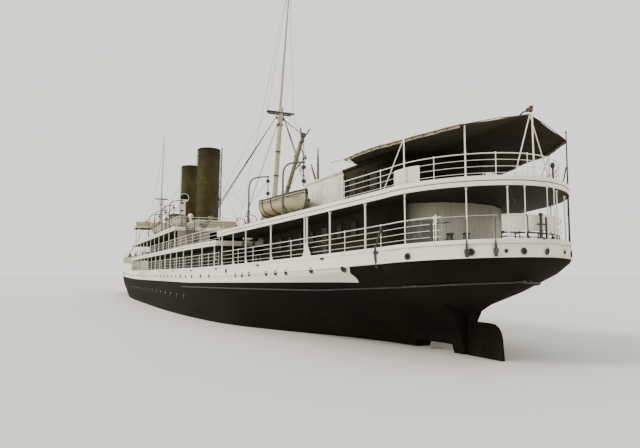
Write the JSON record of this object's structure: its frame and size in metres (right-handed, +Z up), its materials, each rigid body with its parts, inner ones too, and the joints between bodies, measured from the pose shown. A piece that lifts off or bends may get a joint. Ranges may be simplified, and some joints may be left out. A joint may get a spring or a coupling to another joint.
{
  "type": "screw passenger steamship, 1:10 scale model",
  "caption": "Passenger screw steamship afloat: counter stern, tall funnels in line, raked masts, stern awning, boats under davits, working rudder, screw, doors and derricks; 1:10 scale model.",
  "frame": {"origin": "amidships on the centreline at the waterline", "axes": "+X to the bow, +Y to port, +Z up"},
  "size_m": [11.798, 1.48, 3.4912],
  "materials": {
    "black_paint": "semi-gloss black hull paint, weathered",
    "white_paint": "off-white oil paint, slightly yellowed",
    "cream_paint": "cream paint on clinker planks",
    "buff_paint": "buff paint",
    "funnel_paint": "dark brown, matt with soot",
    "red_paint": "dull red bottom paint",
    "dark_iron": "dark painted iron",
    "bronze": "cast bronze",
    "deck_planks": "scrubbed planks",
    "varnished_wood": "varnished hardwood",
    "canvas": "undyed canvas"
  },
  "bodies": {
    "ship": {"hull": "black_paint", "main_deck": "deck_planks", "forecastle": "white_paint", "aft_deck": "white_paint", "mid_deck": "white_paint", "boat_deck": "white_paint", "bridge_deck": "white_paint", "aft_house": "white_paint", "smoke_room": "white_paint", "mid_house": "white_paint", "upper_house": "white_paint", "casing": "white_paint", "bridge_house": "white_paint", "wheelhouse": "varnished_wood", "main_hatch": "dark_iron", "fore_hatch": "dark_iron", "windlass": "dark_iron", "mainmast": "buff_paint", "foremast": "buff_paint", "funnel_fore": "funnel_paint", "funnel_aft": "funnel_paint", "side_rail_port": "white_paint", "side_rail_starboard": "white_paint", "aft_boat_port": "cream_paint", "aft_boat_starboard": "cream_paint", "deck_boats_port": "cream_paint", "deck_boats_starboard": "cream_paint", "stern_rail": "white_paint", "aft_deck_rail": "white_paint", "mid_deck_rail": "white_paint", "boat_deck_rail": "white_paint", "bridge_rail": "white_paint", "forecastle_rail": "white_paint", "awning_frame": "white_paint", "awning": "canvas", "stern_canvas": "canvas", "quarter_canvas": "canvas"},
    "rudder": {"rudder": "red_paint"},
    "screw": {"screw": "bronze"},
    "aft_door_port": {"aft_door_port": "varnished_wood"},
    "aft_door_starboard": {"aft_door_starboard": "varnished_wood"},
    "bridge_door_port": {"bridge_door_port": "varnished_wood"},
    "bridge_door_starboard": {"bridge_door_starboard": "varnished_wood"},
    "main_swivel": {"main_swivel": "dark_iron"},
    "main_boom": {"main_boom": "buff_paint"},
    "fore_swivel": {"fore_swivel": "dark_iron"},
    "fore_boom": {"fore_boom": "buff_paint"},
    "davit_aft_a_port": {"davit_aft_a_port": "white_paint"},
    "davit_aft_f_port": {"davit_aft_f_port": "white_paint"},
    "davit_mid1_a_port": {"davit_mid1_a_port": "white_paint"},
    "davit_mid1_f_port": {"davit_mid1_f_port": "white_paint"},
    "davit_mid2_a_port": {"davit_mid2_a_port": "white_paint"},
    "davit_mid2_f_port": {"davit_mid2_f_port": "white_paint"},
    "davit_aft_a_starboard": {"davit_aft_a_starboard": "white_paint"},
    "davit_aft_f_starboard": {"davit_aft_f_starboard": "white_paint"},
    "davit_mid1_a_starboard": {"davit_mid1_a_starboard": "white_paint"},
    "davit_mid1_f_starboard": {"davit_mid1_f_starboard": "white_paint"},
    "davit_mid2_a_starboard": {"davit_mid2_a_starboard": "white_paint"},
    "davit_mid2_f_starboard": {"davit_mid2_f_starboard": "white_paint"}
  },
  "joints": [
    {"name": "rudder_turn", "type": "hinge", "parent": "ship", "child": "rudder", "pos_m": [-5.464, 0, -0.1], "axis": [0, 0, 1], "range_deg": [-35, 35]},
    {"name": "screw_spin", "type": "hinge", "parent": "ship", "child": "screw", "pos_m": [-5.23, 0, -0.175], "axis": [1, 0, 0], "continuous": true},
    {"name": "aft_door_port_swing", "type": "hinge", "parent": "ship", "child": "aft_door_port", "pos_m": [-4.666, 0.376, 0.55], "axis": [0, 0, 1], "range_deg": [-95, 0]},
    {"name": "aft_door_starboard_swing", "type": "hinge", "parent": "ship", "child": "aft_door_starboard", "pos_m": [-4.666, -0.376, 0.55], "axis": [0, 0, 1], "range_deg": [0, 95]},
    {"name": "bridge_door_port_swing", "type": "hinge", "parent": "ship", "child": "bridge_door_port", "pos_m": [1.154, 0.19, 1.17], "axis": [0, 0, 1], "range_deg": [-95, 0]},
    {"name": "bridge_door_starboard_swing", "type": "hinge", "parent": "ship", "child": "bridge_door_starboard", "pos_m": [1.154, -0.19, 1.17], "axis": [0, 0, 1], "range_deg": [0, 95]},
    {"name": "main_swivel_slew", "type": "hinge", "parent": "ship", "child": "main_swivel", "pos_m": [-2.86, 0, 0.72], "axis": [0, 0, 1], "range_deg": [-60, 60]},
    {"name": "main_boom_lift", "type": "hinge", "parent": "main_swivel", "child": "main_boom", "pos_m": [-2.89, 0, 0.725], "axis": [0, 1, 0], "range_deg": [-30, 12]},
    {"name": "fore_swivel_slew", "type": "hinge", "parent": "ship", "child": "fore_swivel", "pos_m": [3.4954, 0, 0.79], "axis": [0, 0, 1], "range_deg": [-60, 60]},
    {"name": "fore_boom_lift", "type": "hinge", "parent": "fore_swivel", "child": "fore_boom", "pos_m": [3.4654, 0, 0.80335], "axis": [0, 1, 0], "range_deg": [-30, 25]},
    {"name": "davit_aft_a_port_turn", "type": "hinge", "parent": "ship", "child": "davit_aft_a_port", "pos_m": [-4.475, 0.54457, 0.8], "axis": [0, 0, 1], "range_deg": [0, 180]},
    {"name": "davit_aft_f_port_turn", "type": "hinge", "parent": "ship", "child": "davit_aft_f_port", "pos_m": [-3.985, 0.5972, 0.8], "axis": [0, 0, 1], "range_deg": [-180, 0]},
    {"name": "davit_mid1_a_port_turn", "type": "hinge", "parent": "ship", "child": "davit_mid1_a_port", "pos_m": [-1.445, 0.678, 0.95], "axis": [0, 0, 1], "range_deg": [0, 180]},
    {"name": "davit_mid1_f_port_turn", "type": "hinge", "parent": "ship", "child": "davit_mid1_f_port", "pos_m": [-0.955, 0.678, 0.95], "axis": [0, 0, 1], "range_deg": [-180, 0]},
    {"name": "davit_mid2_a_port_turn", "type": "hinge", "parent": "ship", "child": "davit_mid2_a_port", "pos_m": [-0.385, 0.678, 0.95], "axis": [0, 0, 1], "range_deg": [0, 180]},
    {"name": "davit_mid2_f_port_turn", "type": "hinge", "parent": "ship", "child": "davit_mid2_f_port", "pos_m": [0.105, 0.678, 0.95], "axis": [0, 0, 1], "range_deg": [-180, 0]},
    {"name": "davit_aft_a_starboard_turn", "type": "hinge", "parent": "ship", "child": "davit_aft_a_starboard", "pos_m": [-4.475, -0.54457, 0.8], "axis": [0, 0, 1], "range_deg": [-180, 0]},
    {"name": "davit_aft_f_starboard_turn", "type": "hinge", "parent": "ship", "child": "davit_aft_f_starboard", "pos_m": [-3.985, -0.5972, 0.8], "axis": [0, 0, 1], "range_deg": [0, 180]},
    {"name": "davit_mid1_a_starboard_turn", "type": "hinge", "parent": "ship", "child": "davit_mid1_a_starboard", "pos_m": [-1.445, -0.678, 0.95], "axis": [0, 0, 1], "range_deg": [-180, 0]},
    {"name": "davit_mid1_f_starboard_turn", "type": "hinge", "parent": "ship", "child": "davit_mid1_f_starboard", "pos_m": [-0.955, -0.678, 0.95], "axis": [0, 0, 1], "range_deg": [0, 180]},
    {"name": "davit_mid2_a_starboard_turn", "type": "hinge", "parent": "ship", "child": "davit_mid2_a_starboard", "pos_m": [-0.385, -0.678, 0.95], "axis": [0, 0, 1], "range_deg": [-180, 0]},
    {"name": "davit_mid2_f_starboard_turn", "type": "hinge", "parent": "ship", "child": "davit_mid2_f_starboard", "pos_m": [0.105, -0.678, 0.95], "axis": [0, 0, 1], "range_deg": [0, 180]}
  ]
}
